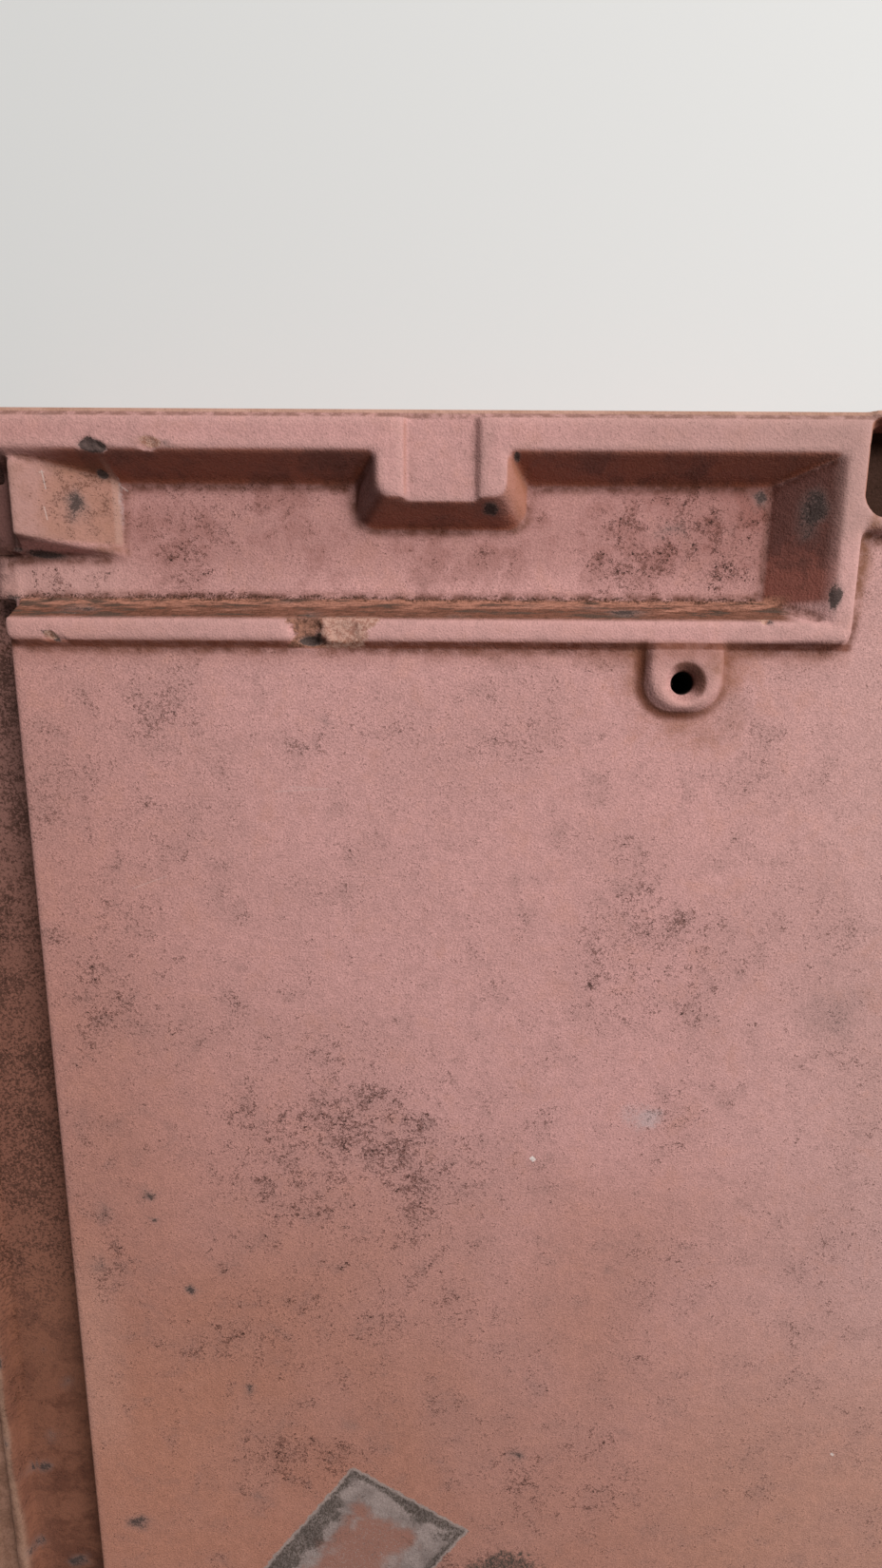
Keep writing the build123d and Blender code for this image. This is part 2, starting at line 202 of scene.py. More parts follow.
pale_blooms = (
    (686, 1177, 17, 12, -20, 0.9, 27), (653, 1170, 5, 20, -8, 0.65, 27), (672, 1190, 14, 8, 0, 0.6, 27),
    (672, 1174, 30, 26, 0, 0.52, 27), (742, 1251, 5, 6, 0, 0.6, 27), (648, 1000, 10, 9, 0, 0.45, 27),
    (652, 1025, 8, 16, 0, 0.35, 27), (380, 922, 10, 8, 0, 0.3, 27), (236, 1128, 6, 6, 0, 0.4, 27),
    (770, 1063, 9, 4, 0, 0.4, 27), (361, 1167, 7, 8, 0, 0.4, 27), (290, 1133, 12, 8, 0, 0.3, 27),
    (40, 505, 9, 22, 0, 0.4, 28), (40, 540, 9, 14, 0, 0.4, 28), (126, 530, 4, 44, 0, 0.55, 23),
    (70, 645, 34, 4, 6, 0.45, 26),
)
speck_crowds = (
    (350, 1220, 150, 130, 0, 0.62, 27), (330, 1400, 140, 100, 0, 0.42, 27),
    (300, 1190, 70, 60, 0, 0.75, 27), (390, 1280, 70, 60, 0, 0.7, 27), (450, 1380, 90, 80, 0, 0.45, 27),
    (330, 1540, 70, 40, 0, 0.75, 27), (180, 745, 50, 36, 0, 0.6, 27), (350, 770, 60, 50, 0, 0.5, 27),
    (120, 830, 100, 120, 0, 0.4, 27), (110, 1010, 90, 100, 0, 0.5, 27),
    (680, 1010, 80, 80, 0, 0.55, 27), (700, 1180, 60, 40, 0, 0.4, 27), (90, 1075, 36, 50, 0, 0.6, 27),
    (700, 575, 110, 55, 0, 0.85, 22), (640, 600, 30, 28, 0, 0.9, 22), (770, 585, 44, 40, 0, 1.0, 22),
    (200, 580, 50, 36, 0, 0.6, 22), (200, 530, 70, 40, 0, 0.5, 22), (85, 525, 40, 44, 0, 0.75, 26),
    (75, 610, 80, 20, 0, 0.5, 22), (600, 1560, 90, 60, 0, 0.5, 27), (100, 1320, 40, 60, 0, 0.5, 27),
    (560, 775, 50, 26, 0, 0.4, 27), (740, 640, 90, 10, 0, 1, 23), (220, 627, 80, 5, 0, 0.9, 22),
    (520, 629, 330, 3, 0, 0.6, 22),
)

# Scratches and lime grains: pixel x and y of the two ends, the level and the half
# width in mm, and the strength
scratches = (
    (290, 833, 345, 830, 27, 0.12, 0.18), (305, 828, 330, 829, 27, 0.12, 0.15),
    (140, 935, 175, 922, 27, 0.12, 0.16), (38, 492, 42, 511, 29, 0.1, 0.42),
    (41, 531, 44, 544, 29, 0.1, 0.36), (36, 494, 40, 493, 29, 0.1, 0.25),
    (121, 508, 127, 512, 25, 0.12, 0.32), (560, 1219, 561, 1220, 27, 0.55, 0.95),
    (875, 1530, 876, 1531, 27, 0.35, 0.8),
)

photo_width, photo_height = 928, 1650
focal_pixels = lens_length / film_height * photo_height


def seen_at(pixel_x, pixel_y, level):
    """x and y in mm where a pixel of the photograph meets the clay at z = level."""
    ray = camera_view.to_3x3() @ Vector(
        (pixel_x - photo_width / 2, photo_height / 2 - pixel_y, -focal_pixels))
    eye = camera_view.translation / mm
    place = eye + ray * ((level - eye.z) / ray.z)
    return place.x, place.y


def pressed_copy(source):
    """A soft, closed copy of a sharp solid, as the clay leaves the mould."""
    sharp = bpy.data.meshes.new("pressed")
    shape = bmesh.new()
    shape.from_mesh(source.data)
    bmesh.ops.remove_doubles(shape, verts=shape.verts, dist=1e-6)
    shape.to_mesh(sharp)
    shape.free()
    blank = bpy.data.objects.new("blank", sharp)
    bpy.context.scene.collection.objects.link(blank)
    even = blank.modifiers.new("even", "REMESH")
    even.mode = "VOXEL"
    even.voxel_size = press_grain
    even.adaptivity = 0.0
    soft = blank.modifiers.new("soft", "SMOOTH")
    soft.factor = 0.5
    soft.iterations = press_passes
    made = bpy.data.meshes.new_from_object(
        blank.evaluated_get(bpy.context.evaluated_depsgraph_get()))
    bpy.data.objects.remove(blank)
    return made


def vectors_of(data, name):
    """A vector property of all points of a mesh, one row a point."""
    flat = np.empty(len(data) * 3, np.float32)
    data.foreach_get(name, flat)
    return flat.reshape(-1, 3)


def eased(share):
    """Clipped to 0 and 1, and smooth where it meets them."""
    share = np.clip(share, 0.0, 1.0)
    return share * share * (3.0 - 2.0 * share)


def knock_off(places, x, y, half_length, half_width, floor):
    """Breaks the clay away down to a rough hollow, from above only."""
    across = (places[:, 0] / mm - x) / half_length
    along = (places[:, 1] / mm - y) / half_width
    near = np.nonzero((across ** 2 + along ** 2 < 1.6)
                      & (places[:, 2] / mm > floor - 0.5))[0]
    for i in near:
        spot = Vector(places[i]) / mm
        rough = noise.noise(spot * 0.9) * 0.35 + noise.noise(spot * 2.1) * 0.18
        reach = math.hypot(across[i], along[i]) * (1.0 + rough)
        if reach < 1.0:
            hollow = floor + 2.4 * reach ** 4 + rough * 0.8
            places[i, 2] = min(places[i, 2], hollow * mm)


def hollows_of(mesh, places, facing):
    """How far each point lies below (+) or above (-) the clay around it, in mm."""
    ends = np.empty(len(mesh.edges) * 2, np.int64)
    mesh.edges.foreach_get("vertices", ends)
    one, two = ends[0::2], ends[1::2]
    count = len(places)
    links = np.bincount(one, minlength=count) + np.bincount(two, minlength=count)
    even = places.astype(np.float64)
    for _ in range(evening_passes):
        even = np.stack([
            (np.bincount(one, even[two, k], count)
             + np.bincount(two, even[one, k], count)) / links
            for k in range(3)], axis=1)
    return ((even - places) * facing).sum(axis=1) / mm


def marks_on(places, facing, marks):
    """How strongly each point is marked, from 0 up; only what faces the sky is."""
    strength = np.zeros(len(places))
    for pixel_x, pixel_y, half_width, half_height, turn, most, level in marks:
        x, y = seen_at(pixel_x, pixel_y, level)
        pixel = seen_at(pixel_x + 1, pixel_y, level)[0] - x
        turned = math.radians(-turn)
        across, along = places[:, 0] / mm - x, places[:, 1] / mm - y
        u = (across * math.cos(turned) + along * math.sin(turned)) / (half_width * pixel)
        v = (along * math.cos(turned) - across * math.sin(turned)) / (half_height * pixel)
        share = eased((1.35 - np.hypot(u, v)) / 0.95)
        strength = np.maximum(strength, most * share)
    above_channel = places[:, 2] > (channel_z - 1.5) * mm
    return strength * (facing[:, 2] > 0.0) * above_channel


tile_mesh = pressed_copy(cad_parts["clay_tile"])
clay = vectors_of(tile_mesh.vertices, "co")
for left, right, foot, head, height in ledges:
    over = ((clay[:, 0] > left * mm) & (clay[:, 0] < right * mm)
            & (clay[:, 1] > foot * mm) & (clay[:, 1] < head * mm)
            & (clay[:, 2] > (channel_z - 1.0) * mm))
    clay[over, 2] = np.maximum(clay[over, 2], height * mm)
rise = rise_height * eased((clay[:, 0] / mm - rise_left_x) / (crest_left_x - rise_left_x))
rise *= np.clip((clay[:, 1] / mm - rise_foot_y) / rise_height, 0.0, 1.0)
rise *= np.clip((rise_head_y - clay[:, 1] / mm) / rise_height, 0.0, 1.0)
on_crest = (rise > 0.0) & (clay[:, 0] < rise_right_x * mm) & (clay[:, 2] > (rib_z - 0.5) * mm)
clay[on_crest, 2] = np.maximum(clay[on_crest, 2], (rib_z + rise[on_crest]) * mm)
for knock in knocks:
    knock_off(clay, *knock)
clay = np.clip(clay, cad_box[0], cad_box[1]).astype(np.float32)
tile_mesh.vertices.foreach_set("co", clay.ravel())
tile_mesh.update()
facing = vectors_of(tile_mesh.vertex_normals, "vector")

kept = np.zeros(len(clay), bool)
for name, values in (
    ("hollow", hollows_of(tile_mesh, clay, facing)),
    ("crowd", marks_on(clay, facing, speck_crowds)),
    ("lichen", marks_on(clay, facing, lichen_spots)),
    ("soil", marks_on(clay, facing, soil_stains)),
    ("broken", marks_on(clay, facing, broken_places)),
    ("bloom", marks_on(clay, facing, pale_blooms)),
):
    layer = tile_mesh.attributes.new(name, "FLOAT", "POINT")
    layer.data.foreach_set("value", values.astype(np.float32))
    if name not in ("hollow", "crowd"):
        kept |= values > faintest_mark

# Thinned out where it is flat, but not under the marks
thick = bpy.data.objects.new("thick", tile_mesh)
bpy.context.scene.collection.objects.link(thick)
free = thick.vertex_groups.new(name="free")
free.add(np.nonzero(~kept)[0].tolist(), 1.0, "REPLACE")
thin_out = thick.modifiers.new("thin_out", "DECIMATE")
thin_out.ratio = most_triangles / (2 * len(tile_mesh.polygons))
thin_out.use_collapse_triangulate = True
thin_out.vertex_group = "free"
thin_out.vertex_group_factor = 0.0
fired_mesh = bpy.data.meshes.new_from_object(
    thick.evaluated_get(bpy.context.evaluated_depsgraph_get()))
bpy.data.objects.remove(thick)
fired_mesh.name = "fired_tile"
fired_mesh.shade_smooth()
tile = bpy.data.objects.new("fired_tile", fired_mesh)
bpy.context.scene.collection.objects.link(tile)

fired_clay = bpy.data.materials.new("fired_clay")
fired_clay.use_nodes = True
clay_tree = fired_clay.node_tree
clay_tree.nodes.clear()


def step(kind, inputs, **settings):
    """One node of the clay's material: inputs is {socket: value or output}."""
    made = clay_tree.nodes.new("ShaderNode" + kind)
    for name, value in settings.items():
        setattr(made, name, value)
    for socket, value in inputs.items():
        if isinstance(value, bpy.types.NodeSocket):
            clay_tree.links.new(value, made.inputs[socket])
        else:
            made.inputs[socket].default_value = value
    return made


def maths(how, *values):
    return step("Math", dict(enumerate(values)), operation=how).outputs[0]


def vector_maths(how, *values):
    """Vector arithmetic; DISTANCE, LENGTH and DOT_PRODUCT put out a number."""
    made = step("VectorMath", dict(enumerate(values)), operation=how)
    return made.outputs["Value" if how in ("DISTANCE", "LENGTH", "DOT_PRODUCT") else "Vector"]


def product(*values):
    """All the values multiplied together."""
    total = values[0]
    for value in values[1:]:
        total = maths("MULTIPLY", total, value)
    return total


def fade(value, start, end, low_end=0.0, high_end=1.0):
    """Runs smoothly from low_end at start to high_end at end."""
    return step("MapRange", {
        "Value": value, "From Min": start, "From Max": end,
        "To Min": low_end, "To Max": high_end,
    }, interpolation_type="SMOOTHSTEP", clamp=False).outputs["Result"]


def lumps(where, size, detail=2.0, roughness=0.5, warp=0.0):
    """Noise with lumps of about that size, in mm."""
    return step("TexNoise", {
        "Vector": where, "Scale": 1.0 / size, "Detail": detail,
        "Roughness": roughness, "Distortion": warp}).outputs["Fac"]


def lay(share, under, over, how="MIX"):
    """Lays one colour over another."""
    under, over = ((*value, 1.0) if isinstance(value, tuple) else value for value in (under, over))
    return step("Mix", {0: share, 6: under, 7: over}, data_type="RGBA", blend_type=how).outputs[2]


def painted(name):
    """A mark that the points of the mesh carry."""
    return step("Attribute", {}, attribute_name=name).outputs["Fac"]


def reach_along(where, start, way):
    """How far a point lies from start, measured along way, in mm."""
    return vector_maths("DOT_PRODUCT", vector_maths("SUBTRACT", where, start), way)


where = step("VectorMath", {
    0: step("TexCoord", {}).outputs["Object"], "Scale": 1.0 / mm}, operation="SCALE").outputs[0]
x, y, z = step("SeparateXYZ", {0: where}).outputs
normal = step("NewGeometry", {}).outputs["Normal"]
normal_x, normal_y, normal_z = step("SeparateXYZ", {0: normal}).outputs
up = fade(normal_z, 0.0, 0.3)

fine = lumps(where, 0.45, 2.0, 0.6)
crumb = lumps(where, 0.62, 3.0, 0.95)
grit = lumps(where, 0.85, 3.0, 0.85, 0.4)
middle = lumps(where, 2.6, 3.0, 0.6)
patch = lumps(where, 9.0, 4.0, 0.65, 0.3)
broad = lumps(where, 32.0, 4.0, 0.6, 0.4)
drift = lumps(where, 80.0, 2.0, 0.5, 0.3)

# Base colour: pink at the head, darker and more orange and brown to the foot and the left
pink_clay, brown_clay = (0.560, 0.292, 0.268), (0.400, 0.182, 0.130)
left_clay, right_clay = (0.375, 0.148, 0.094), (0.490, 0.305, 0.272)
low_left_clay, low_right_clay = (0.500, 0.225, 0.155), (0.430, 0.195, 0.120)
left_edge_clay = (0.560, 0.290, 0.220)
slope = maths("ADD", y, maths("MULTIPLY", x, 0.30))
slope = maths("ADD", slope, fade(drift, 0.3, 0.7, -30.0, 30.0))
colour = lay(fade(slope, 120.0, -90.0), pink_clay, brown_clay)
left_share = fade(maths("ADD", x, maths("MULTIPLY", y, 0.25)), 20.0, -125.0)
colour = lay(product(left_share, 0.60), colour, left_clay)
right_share = fade(x, 50.0, 135.0)
colour = lay(product(right_share, 0.5), colour, right_clay)
low_left = product(fade(y, 20.0, -50.0), fade(x, -20.0, -70.0))
colour = lay(product(low_left, 0.45), colour, low_left_clay)
left_edge = product(fade(y, 40.0, 0.0), fade(x, -80.0, -92.0), fade(y, -60.0, -30.0))
colour = lay(product(left_edge, 0.40), colour, left_edge_clay)
low_right = product(fade(y, 20.0, -60.0), fade(x, 40.0, 100.0))
colour = lay(product(low_right, 0.50), colour, low_right_clay)

# Soft patches of dust, and the grain of the clay itself, finer on the rims
pale_dust, grey_dust, rim_dust = (0.380, 0.205, 0.178), (0.290, 0.170, 0.150), (0.360, 0.215, 0.185)
warm_patch, brown_fleck = (0.490, 0.228, 0.165), (0.215, 0.098, 0.075)
colour = lay(product(fade(broad, 0.40, 0.70), 0.26), colour, pale_dust)
colour = lay(product(fade(patch, 0.50, 0.76), 0.30), colour, grey_dust)
colour = lay(product(fade(patch, 0.50, 0.28), 0.28), colour, warm_patch)
on_rim = fade(z, face_z + 0.8, face_z + 1.8)
grain = maths("SUBTRACT", fade(fine, 0.2, 0.8), 0.5)
grain = product(grain, maths("SUBTRACT", 0.48, product(on_rim, 0.20)))
shade = product(fade(middle, 0.25, 0.75, 0.93, 1.07), maths("ADD", grain, 1.0))
shades = step("CombineXYZ", {0: shade, 1: shade, 2: shade}).outputs[0]
colour = lay(1.0, colour, shades, "MULTIPLY")
flecks = product(fade(crumb, 0.53, 0.62), fade(patch, 0.35, 0.62, 0.10, 0.34),
                 fade(z, face_z + 0.8, face_z + 1.8, 1.0, 0.4))
colour = lay(flecks, colour, brown_fleck)
head_rim = product(fade(z, face_z + 0.6, face_z + 1.8), fade(y, 200.0, 206.0))
colour = lay(product(head_rim, fade(x, 0.0, 100.0, 0.0, 0.55)), colour, rim_dust)

# The trough floor is darker than the face, most towards the head rim and the right end: dirt, and painted
# shade for the light it loses down in the trough. Its left end is paler
shaded_floor_dirt, clean_floor = (0.300, 0.125, 0.104), (0.600, 0.350, 0.310)
floor_share = product(fade(z, trough_z + 3.0, trough_z + 0.6),
                      fade(y, trough_foot_y - 0.5, trough_foot_y + 1.0),
                      fade(x, ledge_left_x - 1.6, ledge_left_x + 2.4),
                      fade(x, trough_right_x + 2.0, trough_right_x - 1.0), up)
floor_dirt_and_shade = maths("ADD", fade(y, trough_foot_y, trough_foot_y + 12.0, 0.0, 0.45),
                   fade(x, trough_right_x - 43.0, trough_right_x - 3.0, 0.0, 0.30))
floor_dirt_and_shade = maths("ADD", floor_dirt_and_shade, fade(patch, 0.40, 0.65, -0.10, 0.25))
colour = lay(product(floor_share, floor_dirt_and_shade), colour, shaded_floor_dirt)
floor_end = product(floor_share, fade(x, wedge_right_x + 7.9, wedge_right_x - 8.1),
                    fade(y, trough_foot_y + 12.0, trough_foot_y + 6.0), 0.45)
colour = lay(floor_end, colour, clean_floor)

# Specks: brown crumbs and black grit, thicker in crowds
brown_crumb, black_grit = (0.130, 0.048, 0.033), (0.034, 0.016, 0.012)
crowd = product(painted("crowd"), 0.75)
crowd = maths("ADD", crowd, fade(broad, 0.42, 0.68, 0.0, 0.35))
crowd = maths("ADD", crowd, fade(patch, 0.42, 0.72, 0.0, 0.45))
crowd = maths("ADD", crowd, fade(middle, 0.30, 0.80, -0.35, 0.60))
crowd = product(crowd, fade(z, face_z + 0.6, face_z + 1.8, 1.0, 0.50))
calm = product(fade(y, 70.0, 150.0, 1.0, 0.70), fade(z, face_z + 0.8, face_z + 1.8, 1.0, 0.65))
calm = maths("MAXIMUM", calm, fade(z, face_z - 0.5, face_z - 1.5))
crumbs = fade(maths("SUBTRACT", crumb, fade(crowd, -0.2, 1.6, 0.665, 0.470)), 0.0, 0.05)
colour = lay(product(crumbs, up, calm, 0.62), colour, brown_crumb)
grits = fade(maths("SUBTRACT", grit, fade(crowd, -0.2, 1.6, 0.735, 0.530)), 0.0, 0.03)
colour = lay(product(grits, up, calm, 0.90), colour, black_grit)

# Soil in the hollows, darkened further as painted shade, and clay rubbed pale on the edges, also a painted
# highlight
soil_and_shade, rubbed_and_lit_clay, spilt_soil = (0.095, 0.028, 0.012), (0.600, 0.345, 0.305), (0.225, 0.095, 0.052)
hollow = painted("hollow")
broken_up = fade(lumps(where, 3.5, 4.0, 0.65), 0.32, 0.66, 0.30, 1.0)
# Hollows: soil together with painted shade, as in corners that get little light
in_hollows = product(fade(hollow, 0.06, 0.34), fade(z, rib_z + 0.1, rib_z - 0.7), broken_up, up)
colour = lay(product(in_hollows, 0.80), colour, soil_and_shade)
# Convex edges: paler, for wear and as a painted highlight
wear_and_highlight = product(fade(hollow, -0.05, -0.30), fade(z, face_z + 0.6, face_z + 1.6, 0.05, 0.22))
colour = lay(wear_and_highlight, colour, rubbed_and_lit_clay)
colour = lay(product(painted("soil"), broken_up, 0.85), colour, spilt_soil)

# Walls of the trough and the rims: brown, damp dirt together with painted shade on the walls
# that face the foot and the left, away from the light; those that face the right get a lighter, lit brown
head_wall = product(fade(z, trough_z - 1.0, trough_z + 0.3),
                    fade(y, trough_foot_y + 14.0, trough_foot_y + 15.5), fade(normal_y, -0.30, -0.72),
                    fade(x, wedge_right_x - 16.1, wedge_right_x - 5.1, 0.35, 1.0))
shaded_head_wall_clay = lay(fade(patch, 0.42, 0.66), (0.290, 0.085, 0.046), (0.180, 0.060, 0.038))
colour = lay(product(head_wall, 0.82), colour, shaded_head_wall_clay)
left_facing = product(fade(z, trough_z - 0.2, trough_z + 0.6), fade(y, trough_foot_y - 2.0, trough_foot_y),
                      fade(normal_x, -0.20, -0.50), fade(x, 20.0, 60.0, 0.7, 1.0),
                      fade(z, rim_z - 0.1, rim_z - 2.0, 0.50, 1.0))
# The left-facing wall is painted darkest towards the head rim, in its shadow, and less near its top edge
up_the_wall = maths("ADD", y, fade(patch, 0.3, 0.7, 7.0, -7.0))
shaded_left_wall_clay = lay(fade(up_the_wall, trough_foot_y + 5.0, trough_foot_y + 16.0),
                       (0.240, 0.068, 0.045), (0.095, 0.027, 0.018))
colour = lay(product(left_facing, 0.88), colour, shaded_left_wall_clay)
right_facing = product(fade(z, trough_z - 0.2, trough_z + 0.8),
                       fade(y, trough_foot_y + 13.0, trough_foot_y + 15.0), fade(normal_x, 0.35, 0.70))
lit_right_wall_clay = (0.350, 0.135, 0.082)
colour = lay(product(right_facing, 0.75), colour, lit_right_wall_clay)

# Inner side of the transverse rib: dirt has run down along it
tan_run, brown_run = (0.420, 0.182, 0.120), (0.168, 0.061, 0.032)
dark_thread, soot_black = (0.085, 0.036, 0.022), (0.075, 0.055, 0.042)
rib_wall = product(fade(y, rib_inner_y, rib_inner_y + 1.2), fade(z, trough_z + 0.15, trough_z + 0.7),
                   fade(y, trough_foot_y + 1.6, trough_foot_y + 0.2),
                   fade(x, trough_right_x + 6.0, trough_right_x + 2.0))
run = lumps(vector_maths("MULTIPLY", where, (0.14, 0.9, 0.9)), 1.5, 4.0, 0.65)
down_the_wall = fade(y, trough_foot_y, rib_inner_y + 1.2, -0.13, 0.17)
run_clay = lay(fade(maths("ADD", run, down_the_wall), 0.38, 0.60), tan_run, brown_run)
colour = lay(product(rib_wall, 0.90), colour, run_clay)
thread = lumps(vector_maths("MULTIPLY", where, (0.40, 1.6, 1.6)), 0.8, 4.0, 0.8)
colour = lay(product(rib_wall, fade(thread, 0.46, 0.60), 0.65), colour, dark_thread)
soot = fade(maths("ADD", run, fade(x, -95.0, -40.0, 0.07, 0.0)), 0.54, 0.62)
colour = lay(product(rib_wall, soot, 0.70), colour, soot_black)

# Dark dirt in the corner on the trough side of the rib; on its foot side, painted shade with some soil on
# the slope that faces the foot, and a darker brown band below it
trough_dirt, below_rib_brown = (0.055, 0.025, 0.015), (0.270, 0.105, 0.070)
wavy = maths("ADD", y, fade(middle, 0.2, 0.8, -0.7, 0.7))
trough_line = product(fade(wavy, trough_foot_y - 0.7, trough_foot_y - 0.2),
                      fade(wavy, trough_foot_y + 0.9, trough_foot_y + 0.3),
                      fade(x, trough_right_x, trough_right_x - 2.0),
                      fade(z, trough_z - 2.0, trough_z - 0.5), fade(crumb, 0.44, 0.54))
colour = lay(product(trough_line, 0.85), colour, trough_dirt)
beside_frame = fade(x, frame_right_x + 1.5, frame_right_x - 0.5)
# Painted shade, with some soil, on the rib's slope that faces the foot, away from the light
foot_line = product(fade(y, rib_base_y - 0.3, rib_base_y + 0.4), fade(y, rib_outer_y, rib_outer_y - 0.5),
                    up, beside_frame, fade(middle, 0.3, 0.6, 0.7, 1.0))
foot_slope_shade_clay = lay(fade(x, 10.0, 50.0), (0.180, 0.044, 0.020), (0.110, 0.022, 0.008))
colour = lay(product(foot_line, 0.92), colour, foot_slope_shade_clay)
# A soft darker brown band on the face just below the rib
by_foot_line = product(fade(y, rib_base_y - 5.7, rib_base_y - 0.2),
                       fade(y, rib_outer_y + 0.8, rib_outer_y - 0.4), beside_frame,
                       fade(patch, 0.30, 0.65, 0.05, 0.55))
colour = lay(by_foot_line, colour, below_rib_brown)

# Where the rib is broken, the wall's brown runs on to its foot, beside raw clay
break_pixel_y, break_level = 664, 28.5
gap_left_pixel, gap_right_pixel, break_right_pixel = 308, 338, 388
gap_left = seen_at(gap_left_pixel, break_pixel_y, break_level)[0]
gap_right = seen_at(gap_right_pixel, break_pixel_y, break_level)[0]
break_right = seen_at(break_right_pixel, break_pixel_y, break_level)[0]
ragged_x = maths("ADD", x, fade(middle, 0.2, 0.8, -1.6, 1.6))
off_crest = maths("ABSOLUTE", maths("SUBTRACT", y, rib_outer_y + 1.5))
left_end = maths("ADD", ragged_x, product(off_crest, 0.7))
right_end = maths("SUBTRACT", ragged_x, product(maths("SUBTRACT", y, rib_outer_y + 1.0), 0.7))
in_break = product(fade(y, rib_base_y - 0.3, rib_base_y + 0.7),
                   fade(y, rib_inner_y + 1.4, rib_inner_y + 0.2),
                   fade(z, face_z - 0.6, face_z - 0.1))
gap = product(in_break, fade(left_end, gap_left + 0.2, gap_left + 1.4),
              fade(ragged_x, gap_right + 0.7, gap_right - 0.7))
gap_clay = lay(fade(grit, 0.42, 0.60), (0.330, 0.150, 0.098), (0.130, 0.058, 0.036))
colour = lay(product(gap, 0.92), colour, gap_clay)

# Boss: iron in the clay has run out round it; painted shade with soil on its lower left flank, painted
# shade in the upper right of its sink, and its hole painted black for the shade inside it
boss_x, boss_y = right_x - 86.3, head_y - 58.2
boss_corner, boss_flat = 7.4, 2.2
nail_radius, sink_radius = 2.5, 4.9
rust, boss_shade_ring = (0.330, 0.135, 0.085), (0.125, 0.038, 0.020)
sink_shade_clay, hole_black = (0.130, 0.046, 0.026), (0.004, 0.002, 0.001)
from_axis = vector_maths("DISTANCE", vector_maths("MULTIPLY", where, (1.0, 1.0, 0.0)),
                         (boss_x, boss_y, 0.0))
beside_boss = maths("SUBTRACT", maths("ABSOLUTE", maths("SUBTRACT", x, boss_x)), boss_flat)
under_boss = maths("SUBTRACT", boss_y + 0.3, y)
off_boss = step("CombineXYZ", {
    0: maths("MAXIMUM", beside_boss, 0.0), 1: maths("MAXIMUM", under_boss, 0.0)}).outputs[0]
past_boss = maths("SUBTRACT", vector_maths("LENGTH", off_boss), boss_corner)
by_boss = product(fade(y, rib_outer_y + 1.0, rib_outer_y - 1.0), up)
rusty = product(fade(maths("ADD", past_boss, fade(patch, 0.2, 0.8, -5.0, 5.0)), 8.0, 0.0),
                fade(past_boss, -1.5, 0.0, 0.15, 0.50), fade(crumb, 0.3, 0.6, 0.5, 1.0), by_boss)
colour = lay(rusty, colour, rust)
# Painted shade, with soil, round the boss, strongest on its lower left side, away from the light
leaning = maths("ADD", x, maths("MULTIPLY", y, 0.6))
boss_leaning = boss_x + 0.6 * boss_y
ring = product(fade(past_boss, -1.0, -0.3), fade(past_boss, 2.4, 0.3), by_boss,
               fade(leaning, boss_leaning + 6.2, boss_leaning - 5.8, 0.25, 1.0), 0.85)
colour = lay(ring, colour, boss_shade_ring)
# Painted shade on the upper right wall of the sink, which faces away from the light
upper_right = fade(maths("ADD", x, y), boss_x + boss_y - 1.0, boss_x + boss_y + 2.5)
sunk = product(fade(from_axis, sink_radius + 0.3, sink_radius - 0.5), upper_right, by_boss, 0.80)
colour = lay(sunk, colour, sink_shade_clay)
# The hole is painted black, for the shade inside it
nail_hole = product(fade(from_axis, nail_radius + 0.4, nail_radius), fade(z, face_z + 0.6, face_z))
colour = lay(nail_hole, colour, hole_black)

# Head edge: trimmed with a wire, tan, with a dark line behind it
above_face = fade(z, face_z, face_z + 0.8)
trim = product(fade(y, head_y - 1.6, head_y - 1.0), above_face, up)
trim_clay = lay(fade(patch, 0.35, 0.65), (0.500, 0.290, 0.215), (0.380, 0.205, 0.135))
colour = lay(product(trim, 0.80), colour, trim_clay)
behind_trim = product(fade(y, head_y - 2.7, head_y - 2.1), fade(y, head_y - 0.9, head_y - 1.5), up,
                      above_face, fade(middle, 0.35, 0.60, 0.1, 1.0))
trim_line = (0.170, 0.080, 0.054)
colour = lay(product(behind_trim, 0.70), colour, trim_line)

# Wedge at the left end of the trough: pinkish on its left, else orange brown, with painted shade on its
# side that faces the foot
pale_edge_clay, shelf_shadow_clay = (0.500, 0.320, 0.270), (0.090, 0.036, 0.030)
wedge = product(fade(x, wedge_right_x + 1.0, wedge_right_x), fade(x, wedge_left_x - 1.6, wedge_left_x),
                fade(y, trough_foot_y + 11.0, trough_foot_y + 12.4),
                fade(y, trough_head_y + 4.5, trough_head_y + 1.0),
                fade(z, trough_z + 0.05, trough_z + 0.5))
uneven_x = maths("ADD", x, fade(patch, 0.3, 0.7, -3.0, 3.0))
wedge_clay = lay(fade(uneven_x, wedge_left_x + 4.0, wedge_left_x + 13.0),
                 (0.400, 0.215, 0.180), (0.375, 0.182, 0.128))
wedge_clay = lay(fade(middle, 0.42, 0.66, 0.0, 0.45), wedge_clay, (0.250, 0.125, 0.088))
wedge_clay = lay(product(crumbs, 0.7), wedge_clay, (0.160, 0.064, 0.040))
# Painted shade on the wedge's side that faces the foot: dark brown, darkest at its left
wedge_shaded_side = lay(fade(x, wedge_left_x, wedge_left_x + 19.0), (0.090, 0.032, 0.020), (0.230, 0.090, 0.052))
wedge_clay = lay(fade(normal_y, -0.35, -0.70), wedge_clay, wedge_shaded_side)
colour = lay(product(wedge, 0.75), colour, wedge_clay)
# A paler line along the wedge's right edge, the edge that faces the light
pale_edge = product(wedge, fade(x, wedge_right_x - 1.3, wedge_right_x - 0.5), 0.3)
colour = lay(pale_edge, colour, pale_edge_clay)
